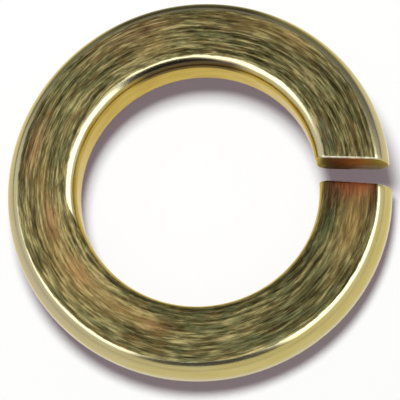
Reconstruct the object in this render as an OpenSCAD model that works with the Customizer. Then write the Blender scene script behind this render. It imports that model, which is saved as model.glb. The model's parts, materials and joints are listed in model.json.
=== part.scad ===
// Spring lock washer: one turn of keystone-section spring wire, coiled to the left and sheared off
// across the wire. The hole's axis is Z, and the washer's lowest point lies in the plane z = 0.
// X points through the middle of the split. Sizes are in millimetres.

/* [Hole and wire] */
// Diameter of the hole
bore_d = 12.8; // [8:0.1:24]
// Width of the wire, from the hole to the outer wall
wire_w = 3.85; // [2.5:0.05:7]
// Thickness of the wire, halfway across its width
wire_t = 2.65; // [1.5:0.05:5]
// How much thicker the wire is at the hole than at the outer wall
keystone = 0.12; // [0:0.02:0.4]
// Radius of the wire's two long edges at the hole
edge_r = 0.7; // [0.2:0.05:1.2]
// How far the outer wall bulges past the flat of the faces
bulge = 0.8; // [0.1:0.05:1.2]

/* [Coil] */
// Climb of the wire in one full turn
climb = 2.7; // [0.4:0.1:6]
// Way in which the coil climbs, seen from above
climbs = "clockwise"; // [clockwise, counterclockwise]

/* [Split] */
// Width of the split at the hole
slot_in = 0.35; // [0.2:0.05:1.5]
// Width of the split at the outer wall
slot_out = 0.5; // [0.2:0.05:2]
// Angle from a radial line to the split, seen from above
cut_skew = 8.5; // [0:0.5:15]
// Lean of the sheared end faces, which sets the raised end's top edge forward
cut_lean = 5; // [0:1:12]

/* [Fineness] */
// Sections of the wire in one turn
turn_steps = 108; // [60:12:144]
// Facets across each rounded edge
edge_steps = 5; // [3:1:7]

/* [Hidden] */

bore_r = bore_d / 2;
outer_r = bore_r + wire_w;
mid_r = bore_r + wire_w / 2;

// Angle of the wire's upper and lower faces, which draw together towards the outer wall
face_tilt = atan(keystone / 2 / wire_w);
// An edge stays clear of the middle of the hole's wall
round_r = min(edge_r, 0.45 * wire_t);

// The sweep stands this far into the hole, which is then bored out to a true cylinder
trim = 0.02;

slot_mid = (slot_in + slot_out) / 2;
slot_flare = atan((slot_out - slot_in) / 2 / wire_w);

// Height of the wire's upper face over the wire's middle, at a radius
function face_height(r) = wire_t / 2 - tan(face_tilt) * (r - mid_r);

// Outer wall, half an ellipse from the lower face to the upper face, as points
// [radius, height over the wire's middle]
outer_wall =
    let (flat_r = outer_r - bulge)
    [for (i = [0:2 * edge_steps + 1])
        let (angle = -90 + 180 * i / (2 * edge_steps + 1))
        [flat_r + bulge * cos(angle), face_height(flat_r) * sin(angle)]];

// Rounded edge between the upper or lower face (side 1 or -1) and the hole's wall, from angle a
// to angle b
function hole_edge(side, a, b) =
    let (centre_r = bore_r + round_r)
    let (centre_h = side * (face_height(centre_r) - round_r / cos(face_tilt)))
    [for (i = [0:edge_steps])
        let (angle = a + (b - a) * i / edge_steps)
        let (past = abs(sin(angle)) < 0.001 ? trim : 0)
        [centre_r + round_r * cos(angle) - past, centre_h + round_r * sin(angle)]];

// Outline of the wire, round its section from the lower face to the outer wall and back
outline = concat(
    outer_wall,
    hole_edge(1, 90 - face_tilt, 180),
    hole_edge(-1, 180, 270 + face_tilt));

// Angle at which a point of the outline meets the end face of the lower end (end -1) or of the
// raised end (end 1). Each pass uses the angle from the pass before it.
function end_angle(point, end, angle = 0, passes = 8) =
    let (direction = end * slot_flare - cut_skew)
    let (across = point.x * cos(angle) - mid_r)
    let (above = point.y - climb * angle / 360)
    let (y = end * slot_mid / 2 + tan(direction) * across - tan(cut_lean) * above)
    passes == 0 ? angle : end_angle(point, end, asin(y / point.x), passes - 1);

// Height that sets the lowest point of the lower end in the plane z = 0
lift = -min([for (point = outline) point.y - climb * end_angle(point, -1) / 360]);

// One section of the wire, from the lower end (along 0) to the raised end (along 1)
function section(along) =
    [for (point = outline)
        let (start = end_angle(point, -1))
        let (finish = end_angle(point, 1) - 360)
        let (angle = start + (finish - start) * along)
        [point.x * cos(angle), point.x * sin(angle), point.y + lift - climb * angle / 360]];

// Facets between two neighbouring sections, two to each side of the outline
function band(step, count) =
    [for (i = [0:count - 1])
        let (a = step * count + i)
        let (b = step * count + (i + 1) % count)
        each [[a, b, b + count], [a, b + count, a + count]]];

module coiled_wire() {
    count = len(outline);
    points = [for (step = [0:turn_steps]) each section(step / turn_steps)];
    sides = [for (step = [0:turn_steps - 1]) each band(step, count)];
    lower_end = [for (i = [count - 1:-1:0]) i];
    raised_end = [for (i = [0:count - 1]) turn_steps * count + i];
    polyhedron(points = points, faces = concat(sides, [lower_end, raised_end]), convexity = 6);
}

module lock_washer() {
    height = lift + wire_t + climb;
    color("darkkhaki")
    mirror([0, climbs == "clockwise" ? 0 : 1, 0])
    difference() {
        coiled_wire();
        translate([0, 0, -1]) cylinder(r = bore_r, h = height + 2, $fn = 180);
    }
}

lock_washer();
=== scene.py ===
import json
from math import cos, pi, radians, sin

import bpy
from mathutils import Matrix, Vector


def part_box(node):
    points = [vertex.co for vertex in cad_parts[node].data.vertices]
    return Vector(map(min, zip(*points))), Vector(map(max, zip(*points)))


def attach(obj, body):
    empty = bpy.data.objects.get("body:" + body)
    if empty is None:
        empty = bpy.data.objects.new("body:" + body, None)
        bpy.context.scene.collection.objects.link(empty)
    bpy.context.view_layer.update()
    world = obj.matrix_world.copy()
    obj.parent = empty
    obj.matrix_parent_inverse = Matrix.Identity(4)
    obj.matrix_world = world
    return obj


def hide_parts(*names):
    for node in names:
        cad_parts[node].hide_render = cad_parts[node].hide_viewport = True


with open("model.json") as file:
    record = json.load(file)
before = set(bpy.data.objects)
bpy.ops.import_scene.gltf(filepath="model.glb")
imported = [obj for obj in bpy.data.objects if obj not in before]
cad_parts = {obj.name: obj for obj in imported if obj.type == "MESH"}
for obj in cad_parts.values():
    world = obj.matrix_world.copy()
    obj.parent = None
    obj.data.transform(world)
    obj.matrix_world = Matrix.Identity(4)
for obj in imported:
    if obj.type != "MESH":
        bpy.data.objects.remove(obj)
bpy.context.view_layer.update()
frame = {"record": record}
mm = 0.001

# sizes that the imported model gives: the hole from its mount, the outer wall from the solid's box
mounts = {mount["name"]: mount["dims"] for mount in frame["record"]["mounts"]}
holeRadius = mounts["bolt_hole"]["r_mm"]
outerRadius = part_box("lock_washer")[1].y / mm
wireWidth = outerRadius - holeRadius


# a socket of a node tree: sums written on it become Math nodes
class Link:
    def __init__(self, tree, socket=None):
        self.tree = tree
        self.socket = socket

    # any node, from its type, its settings and what goes into its inputs
    def node(self, kind, settings=None, inputs=None, out=0):
        made = self.tree.nodes.new(kind)
        for name, value in (settings or {}).items():
            if name == "stops":
                ramp = made.color_ramp
                while len(ramp.elements) < len(value):
                    ramp.elements.new(1)
                for element, (place, colour) in zip(ramp.elements, value):
                    element.position = place
                    element.color = colour
            else:
                setattr(made, name, value)
        for name, value in (inputs or {}).items():
            if isinstance(value, Link):
                self.tree.links.new(value.socket, made.inputs[name])
            else:
                made.inputs[name].default_value = value
        return Link(self.tree, made.outputs[out])

    def output(self, name):
        return Link(self.tree, self.socket.node.outputs[name])

    def math(self, operation, *values):
        return self.node("ShaderNodeMath", {"operation": operation}, dict(enumerate(values)))

    # a function of this socket alone, such as its cosine
    def taken(self, operation):
        return self.math(operation, self)

    def __add__(self, other):
        return self.math("ADD", self, other)

    def __radd__(self, other):
        return self.math("ADD", other, self)

    def __sub__(self, other):
        return self.math("SUBTRACT", self, other)

    def __rsub__(self, other):
        return self.math("SUBTRACT", other, self)

    def __mul__(self, other):
        return self.math("MULTIPLY", self, other)

    def __rmul__(self, other):
        return self.math("MULTIPLY", other, self)

    def __truediv__(self, other):
        return self.math("DIVIDE", self, other)

    def __rtruediv__(self, other):
        return self.math("DIVIDE", other, self)

    def __pow__(self, other):
        return self.math("POWER", self, other)

    def __neg__(self):
        return self.math("MULTIPLY", self, -1)

    def __abs__(self):
        return self.taken("ABSOLUTE")

    def atLeast(self, other):
        return self.math("MAXIMUM", self, other)

    def atMost(self, other):
        return self.math("MINIMUM", self, other)

    def above(self, other):
        return self.math("GREATER_THAN", self, other)

    def held(self):
        return self.atLeast(0).atMost(1)

    # 0 below low, 1 above high, smooth between
    def step(self, low, high):
        return self.node("ShaderNodeMapRange", {"interpolation_type": "SMOOTHSTEP"},
                         {"Value": self, "From Min": low, "From Max": high})

    # 1 at a place, fading to 0 about one reach away
    def near(self, place, reach):
        return (-(((self - place) / reach) ** 2.0)).taken("EXPONENT")

    def vector(self, x, y, z):
        return self.node("ShaderNodeCombineXYZ", inputs={"X": x, "Y": y, "Z": z})

    def parts(self):
        split = self.node("ShaderNodeSeparateXYZ", inputs={"Vector": self})
        return split, split.output("Y"), split.output("Z")

    # how far a noise is from its middle value
    def noise(self, x, y, z, detail=2.0, roughness=0.5):
        made = self.node("ShaderNodeTexNoise", {"noise_dimensions": "3D"}, {
            "Vector": self.vector(x, y, z), "Scale": 1.0,
            "Detail": detail, "Roughness": roughness})
        return made - 0.5

    # this colour with another mixed in
    def mixed(self, factor, other):
        return self.node("ShaderNodeMix", {"data_type": "RGBA"},
                         {0: factor, 6: self, 7: other}, out=2)


# a seen colour (0 to 255) as the linear colour that a shader takes
def seen(colour):
    def linear(level):
        level = level / 255
        return level / 12.92 if level <= 0.04045 else ((level + 0.055) / 1.055) ** 2.4
    return (*[linear(level) for level in colour], 1.0)


# the coil of wire, in millimetres and degrees
wire = {
    "thickness": 2.65,
    "keystone": 0.12,       # thicker at the hole than at the outer wall
    "edgeRadius": 0.7,      # at the hole
    "bulge": 0.8,           # of the outer wall, half an ellipse
    "corner": 1.2,          # 1 for the plain half ellipse, more for a crisper corner
    "climb": 2.7,           # in one full turn
    "slotInside": 0.35,
    "slotOutside": 0.5,
    "cutSkew": 8.5,         # split off a radial line
    "cutLean": 5.0,         # end faces off the hole's axis
    "cutRound": 0.11,       # small rounding all round the sheared faces
    "filletPoints": 24,
    "fullRound": 0.998,     # of half the thickness, so that no two points of the section meet
    "aroundPoints": 248,
    "bodyRings": 350,
    "endRings": 22,
    "roundRings": 6,        # of the end rings, how many turn round the sheared edge
    "mergeDistance": 0.0002,
    "grooveDepth": 0.016,   # drawing marks and pits, raised in the mesh
    "pitDepth": 0.02,
    "pitFrom": (0.12, 0.3),
    "wallShare": 0.12,      # the walls are much smoother than the faces
    "shearDepth": 0.02,
    # how far under a face's plane its marks begin and are full
    "faceBand": (0.035, 0.005),
    # where torn marks begin and end, as shares of the way to the middle of the sheared face
    "shearBegins": (0.2, 0.4),
    "shearEnds": (0.75, 0.95),
    "shiftSeed": 4.7,
    # steps of each kind of mark in a millimetre, along the wire and across it
    "groove": (0.8, 8.5),
    "score": (1.6, 3.2),
    "pit": (2.4, 5.5),
    "torn": (1.6, 7.0),     # down the sheared face and across it
}


# angle at which a point of the section, at radius r and height h over the wire's middle,
# meets the sheared face of the lower end (end -1) or the raised end (end 1)
def endAngle(given, r, h, end, passes=2):
    slotMiddle = (given("Slot inside") + given("Slot outside")) / 2
    widening = (given("Slot outside") - given("Slot inside")) / 2
    flare = (widening / given("Width")).taken("ARCTANGENT")
    slope = (end * flare - given("Cut skew")).taken("TANGENT")
    leaning = given("Cut lean").taken("TANGENT")
    middle = given("Hole radius") + given("Width") / 2
    angle = 0 * r
    for _ in range(passes):
        across = r * angle.taken("COSINE") - middle
        above = h - given("Climb") * angle / (2 * pi)
        y = end * slotMiddle / 2 + slope * across - leaning * above
        angle = (y / r).taken("ARCSINE")
    return angle


# one turn of wire: a grid of rings that is bent round the section and along the coil
def coiledWireTree(values, material):
    tree = bpy.data.node_groups.new("coiledWire", "GeometryNodeTree")
    tree.interface.new_socket(name="Washer", in_out="OUTPUT", socket_type="NodeSocketGeometry")
    identifiers = {}
    for name, value in values.items():
        kind = "NodeSocketInt" if isinstance(value, int) else "NodeSocketFloat"
        made = tree.interface.new_socket(name=name, in_out="INPUT", socket_type=kind)
        identifiers[name] = made.identifier
    start = Link(tree, tree.nodes.new("NodeGroupInput").outputs[0])
    given = start.output

    # the wire's section: a rectangle with its edges rounded at the hole, and with a half round end
    # that is squeezed into the bulge of the outer wall, with a crisper corner at each face
    half = given("Thickness") / 2
    flatEnd = given("Width") / 2 - given("Bulge")
    outline = start.node("GeometryNodeCurvePrimitiveQuadrilateral", {"mode": "RECTANGLE"}, {
        "Width": given("Width") + half - given("Bulge"), "Height": given("Thickness")})
    x, y, _ = start.node("GeometryNodeInputPosition").parts()
    outline = start.node("GeometryNodeFilletCurve", {"mode": "POLY"}, {
        "Curve": outline, "Count": wire["filletPoints"], "Limit Radius": True,
        "Radius": given("Edge radius")
                  + (half * wire["fullRound"] - given("Edge radius")) * x.above(0)})
    x = x + (half - given("Bulge")) / 2
    x = x.atMost(flatEnd) + ((x - flatEnd) / half).held() ** given("Corner") * given("Bulge")
    outline = start.node("GeometryNodeSetPosition", inputs={
        "Geometry": outline, "Position": start.vector(x, y, 0.0)})

    rings = given("Body rings") + 2 * given("End rings")
    grid = start.node("GeometryNodeMeshGrid", inputs={
        "Size X": rings - 1, "Size Y": given("Around points"),
        "Vertices X": rings, "Vertices Y": given("Around points") + 1})
    x, y, _ = start.node("GeometryNodeInputPosition").parts()
    ring = x + (rings - 1) / 2
    onOutline = start.node("GeometryNodeSampleCurve", {"mode": "FACTOR"}, {
        "Curves": outline, "Factor": (y / given("Around points") + 0.5).held()}, out="Position")
    sideways, upwards, _ = onOutline.parts()

    # the first and last rings round the sheared edge and then close the end face
    toLower = (given("End rings") - ring) / given("End rings")
    toRaised = (ring - (rings - 1 - given("End rings"))) / given("End rings")
    ending = toLower.atLeast(toRaised).held()
    along = ((ring - given("End rings")) / (given("Body rings") - 1)).held()
    rounding = given("Round rings") / given("End rings")
    turnIn = (ending / rounding).atMost(1) * (pi / 2)
    inset = given("Cut round") * (1 - turnIn.taken("COSINE"))
    setBack = given("Cut round") * (1 - turnIn.taken("SINE"))
    closing = 1 - ((ending - rounding) / (1 - rounding)).held()

    middle = given("Hole radius") + given("Width") / 2
    out = sideways * (1 - inset / (given("Width") / 2)) * closing
    taper = 1 - given("Keystone") / given("Thickness") * out / given("Width")
    height = upwards * (1 - inset / (given("Thickness") / 2)) * closing * taper
    radius = middle + out

    first = endAngle(given, radius, height, -1) - setBack / radius
    last = endAngle(given, radius, height, 1) - 2 * pi + setBack / radius
    angle = first + (last - first) * along
    place = start.vector(radius * angle.taken("COSINE"), radius * angle.taken("SINE"),
                         height - given("Climb") * angle / (2 * pi))

    # where each point is on the wire, read off the flat grid, for the relief and the finish
    stored = {
        "wirePlace": start.vector(angle * (-1 * middle), radius, height),
        "sectionPlace": start.vector(sideways, upwards, ending),
    }
    coil = grid
    for name, field in stored.items():
        coil = start.node("GeometryNodeStoreNamedAttribute",
                          {"data_type": "FLOAT_VECTOR", "domain": "POINT"},
                          {"Geometry": coil, "Name": name, "Value": field})
    coil = start.node("GeometryNodeSetPosition", inputs={"Geometry": coil, "Position": place})
    coil = start.node("GeometryNodeMergeByDistance", inputs={
        "Geometry": coil, "Distance": wire["mergeDistance"]})
    coil = start.node("GeometryNodeFlipFaces", inputs={"Mesh": coil})

    # drawing marks and pits on the faces, torn marks on the sheared ends
    def kept(name):
        return start.node("GeometryNodeInputNamedAttribute", {"data_type": "FLOAT_VECTOR"},
                          {"Name": name}).parts()
    a, r, h = kept("wirePlace")
    _, sy, end = kept("sectionPlace")
    seed = given("Shift")
    along, across = wire["groove"]
    groove = start.noise(a * along, r * across + seed, h * across, 3, 0.6)
    along, across = wire["score"]
    score = start.noise(a * along + seed, r * across, h * across)
    along, across = wire["pit"]
    pit = start.noise(a * along, r * across + seed, h * across, 1).step(*wire["pitFrom"])
    begins, full = wire["faceBand"]
    onFace = (abs(sy) - given("Thickness") / 2 + begins).step(0, begins - full)
    share = given("Wall share") + (1 - given("Wall share")) * onFace
    marks = ((groove * 2 + score) * given("Groove depth") - pit * given("Pit depth")) * share
    down, across = wire["torn"]
    torn = start.noise(r * across + seed, h * down, 3.0, 3, 0.6) * given("Shear depth")
    onCut = end.step(*wire["shearBegins"])
    raised = marks * (1 - onCut) + torn * onCut * (1 - end.step(*wire["shearEnds"]))
    offset = start.node("ShaderNodeVectorMath", {"operation": "SCALE"}, {
        0: start.node("GeometryNodeInputNormal"), "Scale": raised})
    coil = start.node("GeometryNodeSetPosition", inputs={"Geometry": coil, "Offset": offset})

    # down to the surface that it lies on, and from millimetres to metres
    lowest = start.node("GeometryNodeBoundBox", inputs={"Geometry": coil}, out="Min").parts()[2]
    coil = start.node("GeometryNodeTransform", inputs={
        "Geometry": coil, "Translation": start.vector(0.0, 0.0, lowest * (-1 * mm)),
        "Scale": (mm, mm, mm)})
    coil = start.node("GeometryNodeSetShadeSmooth", inputs={"Geometry": coil})
    coil = start.node("GeometryNodeRealizeInstances", inputs={"Geometry": coil})
    coil = start.node("GeometryNodeSetMaterial", inputs={"Geometry": coil, "Material": material})
    finished = tree.nodes.new("NodeGroupOutput")
    tree.links.new(coil.socket, finished.inputs[0])
    return tree, identifiers


def makeWasher(material):
    values = {
        "Hole radius": holeRadius, "Width": wireWidth, "Thickness": wire["thickness"],
        "Keystone": wire["keystone"], "Edge radius": wire["edgeRadius"], "Bulge": wire["bulge"],
        "Corner": wire["corner"], "Climb": wire["climb"],
        "Slot inside": wire["slotInside"], "Slot outside": wire["slotOutside"],
        "Cut skew": radians(wire["cutSkew"]), "Cut lean": radians(wire["cutLean"]),
        "Cut round": wire["cutRound"], "Around points": wire["aroundPoints"],
        "Body rings": wire["bodyRings"], "End rings": wire["endRings"],
        "Round rings": wire["roundRings"], "Groove depth": wire["grooveDepth"],
        "Pit depth": wire["pitDepth"], "Wall share": wire["wallShare"],
        "Shear depth": wire["shearDepth"], "Shift": wire["shiftSeed"],
    }
    tree, identifiers = coiledWireTree(values, material)
    base = bpy.data.objects.new("wireBase", bpy.data.meshes.new("wireBase"))
    bpy.context.scene.collection.objects.link(base)
    modifier = base.modifiers.new("coil", "NODES")
    modifier.node_group = tree
    for name, value in values.items():
        modifier[identifiers[name]] = value
    base.update_tag()
    evaluated = base.evaluated_get(bpy.context.evaluated_depsgraph_get())
    mesh = bpy.data.meshes.new_from_object(evaluated)
    washer = bpy.data.objects.new("washer_wire", mesh)
    bpy.context.scene.collection.objects.link(washer)
    bpy.data.objects.remove(base)
    triangles = sum(len(polygon.vertices) - 2 for polygon in mesh.polygons)
    print("washer:", len(mesh.vertices), "points,", triangles, "triangles")
    return washer


# how the yellow chromate looks, colours as they are seen (0 to 255)
finish = {
    "shade": (50, 45, 25),
    "olive": (100, 94, 59),
    "straw": (180, 167, 114),
    "green": (94, 104, 70),
    "umber": (124, 102, 60),
    "scratch": (66, 50, 28),
    "tan": (186, 150, 90),
    "rose": (176, 118, 82),
    "copper": (168, 94, 70),
    "brown": (66, 46, 34),
    "slate": (112, 116, 110),
    "wallGold": (198, 183, 116),
    "wallDeep": (190, 174, 104),
    # painted pale reflection on the outer wall
    "wallPale": (180, 170, 146),
    "edgePale": (192, 184, 146),
    # the hole's wall: the chromate's gold, painted deeper and darker than the outer wall's as
    # shade
    "holeGold": (184, 158, 72),
    "holeDeep": (170, 138, 44),
    "grazing": (255, 244, 190),
    # painted dark reflection on the hole's edge
    "holeStain": (60, 42, 25),
    # painted highlight along the raised end's upper sheared edge
    "shearHighlight": (226, 220, 196),
    "shearDark": (84, 56, 34),
    "shearRed": (140, 84, 44),
    "shearOrange": (186, 130, 62),
    "shearOlive": (172, 156, 76),
    "faceRoughness": 0.42,
    "wallRoughness": 0.18,
    "coat": 0.3,            # of the walls
    "underCoat": 0.7,       # more of it low on the outer wall
    "coatRoughness": 0.1,
    "bumpStrength": 0.6,
    "bumpDistance": 0.00003,    # metres
    # places on the faces that have taken another tint: distance along the wire from the lower end
    # and radius, reach both ways (all in millimetres), tint and strength
    "tints": [
        (0.1, 8.3, 1.0, 1.3, "copper", 1.0),
        (0.0, 8.5, 0.9, 1.1, "copper", 1.0),
        (2.6, 8.4, 2.0, 0.6, "tan", 0.6),
        (0.6, 6.9, 2.4, 0.35, "brown", 0.8),
        (3.4, 7.2, 1.0, 0.3, "green", 0.5),
        (0.4, 9.45, 1.6, 0.2, "brown", 0.9),
        (16.1, 7.9, 0.9, 0.35, "rose", 0.4),
        (18.0, 7.7, 1.8, 0.4, "tan", 0.4),
        (21.4, 7.75, 1.0, 0.4, "rose", 0.5),
        (21.9, 8.0, 3.6, 0.8, "tan", 0.4),
        (24.8, 7.9, 1.2, 0.35, "rose", 0.45),
        (27.2, 8.2, 1.2, 0.3, "tan", 0.4),
        (28.9, 8.9, 1.3, 0.35, "rose", 0.4),
        (36.9, 8.9, 2.2, 0.5, "rose", 0.25),
        (37.4, 7.9, 1.0, 0.4, "tan", 0.35),
        (44.1, 9.2, 2.4, 0.5, "tan", 0.4),
        (50.2, 7.3, 1.2, 0.25, "slate", 0.4),
    ],
    # stretches of the faces with painted light, lighter in three and darker in one, and more
    # marked where lighter: place, reach and amount
    "lighter": [(21.8, 4.2, 0.05), (39.8, 5.5, 0.08), (9.5, 7.5, -0.04), (48.5, 3.0, 0.04)],
    # stretches where the outer wall carries a painted pale reflection: place and reach
    "pale": [(23.0, 6.5), (50.5, 3.5)],
    # stretch where the hole's edge carries a painted dark reflection, and stretch where marks run
    # over the hole's edge
    "paintedDarkStretch": (36.2, 42.6),
    "marked": (1.0, 24.0),
    # how far under a face's plane its marks begin and are full (millimetres), and how far over the
    # hole's edge they run where it is marked
    "faceBand": (0.035, 0.008),
    "overEdge": 0.25,
    # how uneven the border of the marks is, and how far the marks wander (millimetres)
    "uneven": 0.06,
    "wandering": 0.5,
    # noises of the marks: steps in a millimetre along, across and down the wire, shift of each,
    # detail and roughness
    "grains": {
        "ragged": ((1.2, 2, 2), (0, 0, 0), 3, 0.6),
        "wander": ((0.16, 0.4, 0.4), (0, 0, 9), 1, 0.5),
        "broad": ((0.4, 2.6, 2), (0, 0, 0), 3, 0.6),
        "streak": ((0.8, 8, 6), (0, 0, 0), 3, 0.7),
        "hair": ((1.5, 16, 9), (5, 0, 0), 2, 0.6),
        "cloud": ((0.3, 0.9, 1), (2, 0, 0), 2, 0.5),
        "blotch": ((0.9, 2.6, 2), (4, 0, 0), 2, 0.5),
        "line": ((0.15, 5.5, 4), (3, 2, 0), 2, 0.5),
        "dash": ((1.2, 9, 7), (11, 3, 0), 1, 0.5),
        "film": ((0.8, 2.6, 1), (7, 0, 3), 3, 0.65),
        "sheen": ((0.5, 3, 3), (0, 0, 0), 2, 0.5),
    },
    # tone of the faces: what it starts from, how strongly the marks show, and each one's share
    "baseTone": 0.45,
    "contrast": 0.78,
    "shares": {"broad": 1.1, "streak": 2.1, "hair": 0.8, "line": 1.6, "dash": 0.25,
               "cloud": 0.5, "blotch": 0.5, "rim": 0.25},
    # most of each colour that is laid over the one below it
    "cover": {"green": 0.55, "umber": 0.5, "scratch": 0.5, "wallPale": 0.75, "under": 0.8,
              "holeStain": 0.85, "shearLow": 0.6},
    # stretch with a greener film: place, reach and amount
    "greener": (9.5, 6.0, 0.06),
    # colours by rising tone, and on the sheared faces from the hole outwards
    "faceTones": [(0.08, "shade"), (0.46, "olive"), (0.95, "straw")],
    "outerTones": [(0.35, "wallDeep"), (0.65, "wallGold")],
    "holeTones": [(0.35, "holeDeep"), (0.65, "holeGold")],
    "shearTones": [(0.04, "shearOlive"), (0.12, "shearDark"), (0.35, "shearRed"),
                   (0.6, "shearOrange"), (0.8, "shearOlive")],
}


def yellowChromate():
    material = bpy.data.materials.new("yellowChromate")
    material.use_nodes = True
    tree = material.node_tree
    tree.nodes.clear()
    start = Link(tree)

    def kept(name):
        return start.node("ShaderNodeAttribute", {"attribute_name": name}, out="Vector").parts()

    def ramp(value, tones):
        colours = [(place, seen(finish[name])) for place, name in finish[tones]]
        return start.node("ShaderNodeValToRGB", {"stops": colours}, {"Fac": value}, out="Color")

    a, r, h = kept("wirePlace")
    sx, sy, end = kept("sectionPlace")
    halfWidth, halfThick = wireWidth / 2, wire["thickness"] / 2
    inwards = 0 - sx
    atHole = inwards.step(0, 0.2)
    share, cover = finish["shares"], finish["cover"]

    # one of the noises, drawn out along the wire
    def grain(name, across):
        steps, shifts, detail, roughness = finish["grains"][name]
        places = [axis * step + shift for axis, step, shift in zip((a, across, h), steps, shifts)]
        return start.noise(*places, detail, roughness)

    # the faces carry the marks, the rounded edges and the walls are smooth
    ragged = grain("ragged", r) * finish["uneven"]
    first, last = finish["marked"]
    over = a.step(first - 1.5, first) * (1 - a.step(last - 1, last + 2)) * atHole
    begins, full = finish["faceBand"]
    onFace = abs(sy) + ragged + over * (finish["overEdge"] + ragged)
    onFace = onFace.step(halfThick - begins, halfThick - full)

    # long marks along the wire, which wander a little across it
    wandering = r + grain("wander", r) * finish["wandering"]
    broad, streak, hair, blotch, line, dash, film = [
        grain(name, wandering)
        for name in ("broad", "streak", "hair", "blotch", "line", "dash", "film")]
    cloud = grain("cloud", r)
    # painted light: the faces made lighter in some stretches and darker in one, with the marks
    # stronger where lighter
    paintedFaceLight = 0 * a
    for place, reach, amount in finish["lighter"]:
        paintedFaceLight = paintedFaceLight + a.near(place, reach) * amount
    marks = broad * share["broad"] + streak * share["streak"] + hair * share["hair"]
    marks = marks + line * share["line"] + dash.step(0.08, 0.2) * share["dash"]
    rim = over * inwards.step(halfWidth - wire["edgeRadius"], halfWidth)
    tone = finish["baseTone"] + paintedFaceLight + marks * (finish["contrast"] + paintedFaceLight * 2)
    tone = tone + cloud * share["cloud"] + blotch * share["blotch"] + rim * share["rim"]
    face = ramp(tone, "faceTones")

    # green and umber cast of the film, dark scratches, and the tinted places
    place, reach, amount = finish["greener"]
    film = film + a.near(place, reach) * amount
    green = film.step(0.02, 0.16) * cover["green"] * tone.step(0.0, 0.6)
    face = face.mixed(green, seen(finish["green"]))
    face = face.mixed((-film).step(0.03, 0.16) * cover["umber"], seen(finish["umber"]))
    face = face.mixed((-dash).step(0.06, 0.18) * cover["scratch"], seen(finish["scratch"]))
    speckle = 0.35 + 0.65 * (streak * 0.6 + film * 0.4).step(-0.12, 0.08)
    for place, middle, length, width, tint, strength in finish["tints"]:
        spot = a.near(place, length) * r.near(middle, width) * strength * speckle
        face = face.mixed(spot.held(), seen(finish[tint]))

    # smooth gold of the outer wall, with painted pale reflections low down and in two stretches,
    # and of the hole's wall, painted a deeper gold as shade, with a painted dark reflection on its
    # edge
    sheen = grain("sheen", r)
    outer = ramp(sheen + 0.5, "outerTones")
    # painted pale reflections in two stretches of the outer wall
    for place, reach in finish["pale"]:
        outer = outer.mixed(a.near(place, reach) * cover["wallPale"], seen(finish["wallPale"]))
    # painted pale reflection low on the outer wall, where the coat is also thicker
    under = (0.6 - sy + sheen * 0.4).step(0, 0.5) * (1 - atHole)
    outer = outer.mixed(under * cover["under"], seen(finish["wallPale"]))
    # the hole's wall in a deeper gold, partly painted shade
    hole = ramp(sheen + 0.5, "holeTones")
    # painted dark reflection along the hole's upper edge, over one stretch
    first, last = finish["paintedDarkStretch"]
    paintedDarkReflection = a.step(first - 1.5, first + 0.5) * (1 - a.step(last - 0.5, last + 1.5))
    paintedDarkReflection = paintedDarkReflection * (sy + sheen * 0.2).step(0.7, 0.85) * (1 - sy.step(1.2, 1.29))
    wall = outer.mixed(atHole, hole)
    pale = (abs(sy) + sheen * 0.2 - 0.08 * (1 - atHole)).step(1.05, 1.2)
    wall = wall.mixed(pale, seen(finish["edgePale"]))
    wall = wall.mixed(paintedDarkReflection * cover["holeStain"], seen(finish["holeStain"]))
    colour = wall.mixed(onFace, face)

    # sheared faces, from a dark place near the hole over torn brown to olive gold, with a painted
    # highlight along the upper edge at the raised end
    across = (r - holeRadius) / wireWidth + start.noise(r * 3, h * 2, a) * 0.2
    cut = ramp(across, "shearTones")
    low = 1 - (h / halfThick + start.noise(r * 5, h, 2.0) * 0.6).step(-0.8, -0.2)
    cut = cut.mixed(low * cover["shearLow"], seen(finish["shearDark"]))
    rounded = wire["roundRings"] / wire["endRings"]
    # painted highlight along the upper edge of the raised end's sheared face, also a little
    # rougher
    paintedEdgeHighlight = end.step(0.02, 0.06) * (1 - end.step(rounded * 0.8, rounded)) * sy.step(1.2, 1.3)
    paintedEdgeHighlight = paintedEdgeHighlight * a.step(30, 40) * (0.75 + start.noise(r * 4, 1.0, 2.0) * 1.5).held()
    onCut = end.step(rounded * 0.7, rounded)
    colour = colour.mixed(onCut, cut)
    colour = colour.mixed(paintedEdgeHighlight, seen(finish["shearHighlight"]))

    onFace = onFace.atLeast(onCut)
    rough = finish["wallRoughness"] + onFace * (
        finish["faceRoughness"] - finish["wallRoughness"] + streak * 0.3)
    bump = start.node("ShaderNodeBump", inputs={
        "Strength": finish["bumpStrength"], "Distance": finish["bumpDistance"],
        "Height": (streak * 0.6 + hair * 0.4) * (0.1 + 0.9 * onFace)}, out="Normal")
    shader = start.node("ShaderNodeBsdfPrincipled", inputs={
        "Base Color": colour, "Metallic": 1.0, "Roughness": rough + paintedEdgeHighlight * 0.2,
        "Normal": bump, "Coat Weight": finish["coat"] * (1 - onFace) + under * finish["underCoat"],
        "Coat Roughness": finish["coatRoughness"], "Specular Tint": seen(finish["grazing"])})
    shown = tree.nodes.new("ShaderNodeOutputMaterial")
    tree.links.new(shader.socket, shown.inputs["Surface"])
    return material


# camera: where the photograph looks from, as turns of a camera that looks straight down
photoView = {
    "turnX": 0.310,         # radians
    "turnY": 0.115,
    "turnZ": -5.7,          # degrees: the split sits a little above three o'clock
    "distance": 140,        # millimetres from the washer's middle
    "sensorWidth": 36,      # millimetres
    "clipFrom": 0.002,      # metres
    "clipTo": 10,
    "framePixels": 400,
    "pixelsPerRadius": 192.6,
    "centreRight": -1.5,    # pixels from the middle of the frame to the washer's middle
    "centreUp": 9.3,
}


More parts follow.
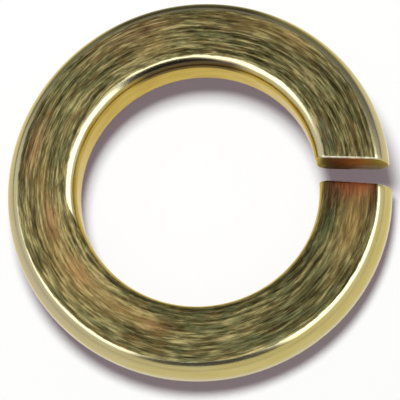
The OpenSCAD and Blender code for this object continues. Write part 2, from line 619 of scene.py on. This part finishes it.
def aimCamera():
    data = bpy.data.cameras.new("camera")
    camera = bpy.data.objects.new("camera", data)
    bpy.context.scene.collection.objects.link(camera)
    bpy.context.scene.camera = camera
    turned = (Matrix.Rotation(radians(photoView["turnZ"]), 3, "Z")
              @ Matrix.Rotation(photoView["turnX"], 3, "X")
              @ Matrix.Rotation(photoView["turnY"], 3, "Y"))
    right, up, back = turned.col
    pixel = outerRadius / photoView["pixelsPerRadius"]
    middle = Vector((0, 0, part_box("lock_washer")[1].z / mm / 2))
    station = middle + back * photoView["distance"]
    target = middle - (right * photoView["centreRight"] + up * photoView["centreUp"]) * pixel
    aim = (station - target).normalized()
    side = up.cross(aim).normalized()
    placed = Matrix((side, aim.cross(side), aim)).transposed().to_4x4()
    placed.translation = station * mm
    camera.matrix_world = placed
    data.sensor_fit = "HORIZONTAL"
    data.sensor_width = photoView["sensorWidth"]
    focal = photoView["pixelsPerRadius"] * photoView["distance"] / outerRadius
    data.lens = focal / photoView["framePixels"] * data.sensor_width
    data.clip_start = photoView["clipFrom"]
    data.clip_end = photoView["clipTo"]


# what the metal mirrors, as panels of a white tent: azimuth and half width, lowest and highest
# angle over the floor, softness of their edges (degrees) and brightness, where 1 is plain white
studio = {
    "tent": 0.9,            # brightness between the panels
    "tentOnFloor": 0.1,     # brightness with which it lights the floor
    "panels": [
        (111, 100, 58, 95, 12, 0.7),      # overhead, mirrored by the faces
        (90, 56, -30, 40, 14, 0.28),      # dark wall behind
        (206, 34, 36, 67, 5, 3.2),        # left box
        (352, 43, 31, 69, 5, 3.3),        # right box
        (248, 40, 69, 84, 3, 3.6),        # strip over the opening
        (276, 33, 26, 68, 4, 0.09),       # dark opening on the near side
    ],
    "keyAzimuth": 110,      # degrees
    "keyHeight": 86,
    "keySize": 42,          # millimetres
    "keyDistance": 140,
    "keyLevel": 0.93,       # how white it alone makes a white floor
    "floorDiffuse": (0.865, 0.905, 0.885),
    "floorGlow": (0.14, 0.1, 0.118),    # seen, but lights nothing
    "floorRadius": 0.4,     # metres
    "floorSides": 96,
    "behind": 0.35,         # share of the floor's light that the metal mirrors from the far side
    "behindFrom": (0.011, 0.018),   # metres from the washer's middle
    "bounce": 0.25,         # share of the floor's light that comes back to it off the metal
}


def makeFloor():
    mesh = bpy.data.meshes.new("floor")
    sides, reach = studio["floorSides"], studio["floorRadius"]
    turns = [2 * pi * i / sides for i in range(sides)]
    corners = [(reach * cos(turn), reach * sin(turn), 0) for turn in turns]
    mesh.from_pydata(corners, [], [range(sides)])
    floor = bpy.data.objects.new("floor", mesh)
    bpy.context.scene.collection.objects.link(floor)
    material = bpy.data.materials.new("paleFloor")
    material.use_nodes = True
    tree = material.node_tree
    tree.nodes.clear()
    start = Link(tree)
    ray = start.node("ShaderNodeLightPath")
    shown = (ray.output("Is Camera Ray") + ray.output("Is Glossy Ray")
             + ray.output("Is Transmission Ray")).held()
    bounced = ray.output("Diffuse Depth").above(0.5)
    # on the far side, where the metal mirrors it darker
    away = start.node("ShaderNodeNewGeometry").parts()[1]
    behind = away.step(*studio["behindFrom"]) * ray.output("Is Glossy Ray")
    level = (1 - bounced * (1 - studio["bounce"])) * (1 - behind * (1 - studio["behind"]))
    red, green, blue = (level * share for share in studio["floorDiffuse"])
    matt = start.node("ShaderNodeBsdfDiffuse", inputs={"Color": start.vector(red, green, blue)})
    glow = start.node("ShaderNodeEmission", inputs={
        "Color": (*studio["floorGlow"], 1), "Strength": shown * (1 - behind)})
    both = start.node("ShaderNodeAddShader", inputs={0: matt, 1: glow})
    end = tree.nodes.new("ShaderNodeOutputMaterial")
    tree.links.new(both.socket, end.inputs["Surface"])
    mesh.materials.append(material)


# azimuths are the photograph's own, which is turned a little against the washer
def toWasher(azimuth):
    return radians(azimuth + photoView["turnZ"])


def makeTent():
    world = bpy.data.worlds.new("tent")
    bpy.context.scene.world = world
    world.use_nodes = True
    world.cycles.sampling_method = "NONE"   # light path nodes then hold for the floor too
    tree = world.node_tree
    tree.nodes.clear()
    start = Link(tree)
    x, y, z = start.node("ShaderNodeTexCoord", out="Generated").parts()
    flat = (x * x + y * y).atLeast(0.000001) ** 0.5     # never quite 0, for the division
    level = studio["tent"] + 0 * x
    for azimuth, halfWidth, low, high, soft, brightness in studio["panels"]:
        turn = toWasher(azimuth)
        across = (x * cos(turn) + y * sin(turn)) / flat
        inside = across.step(cos(radians(halfWidth + soft)), cos(radians(halfWidth - soft)))
        inside = inside * z.step(sin(radians(low - soft)), sin(radians(low + soft)))
        if high + soft < 90:
            inside = inside * (1 - z.step(sin(radians(high - soft)), sin(radians(high + soft))))
        level = level + (brightness - level) * inside
    ray = start.node("ShaderNodeLightPath")
    level = level + (studio["tentOnFloor"] - level) * ray.output("Diffuse Depth").above(0.5)
    level = level + (1 - level) * ray.output("Is Camera Ray")
    background = start.node("ShaderNodeBackground", inputs={
        "Color": (1, 1, 1, 1), "Strength": level})
    end = tree.nodes.new("ShaderNodeOutputWorld")
    tree.links.new(background.socket, end.inputs["Surface"])


# soft key light for the floor and its shadow, the metal mirrors the tent's panels instead
def makeKey():
    data = bpy.data.lights.new("key", "AREA")
    data.shape = "DISK"
    data.size = studio["keySize"] * mm
    distance = studio["keyDistance"] * mm
    data.energy = studio["keyLevel"] * (pi * distance) ** 2
    key = bpy.data.objects.new("key", data)
    bpy.context.scene.collection.objects.link(key)
    turn, rise = toWasher(studio["keyAzimuth"]), radians(studio["keyHeight"])
    direction = Vector((cos(turn) * cos(rise), sin(turn) * cos(rise), sin(rise)))
    key.location = direction * distance
    key.rotation_euler = direction.to_track_quat("Z", "Y").to_euler()
    key.visible_glossy = False


aimCamera()
print("camera placed")
washer = makeWasher(yellowChromate())
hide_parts("lock_washer")
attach(washer, "root")
print("washer made")
makeFloor()
makeTent()
makeKey()
print("studio made")
bpy.context.scene.view_settings.view_transform = "Standard"
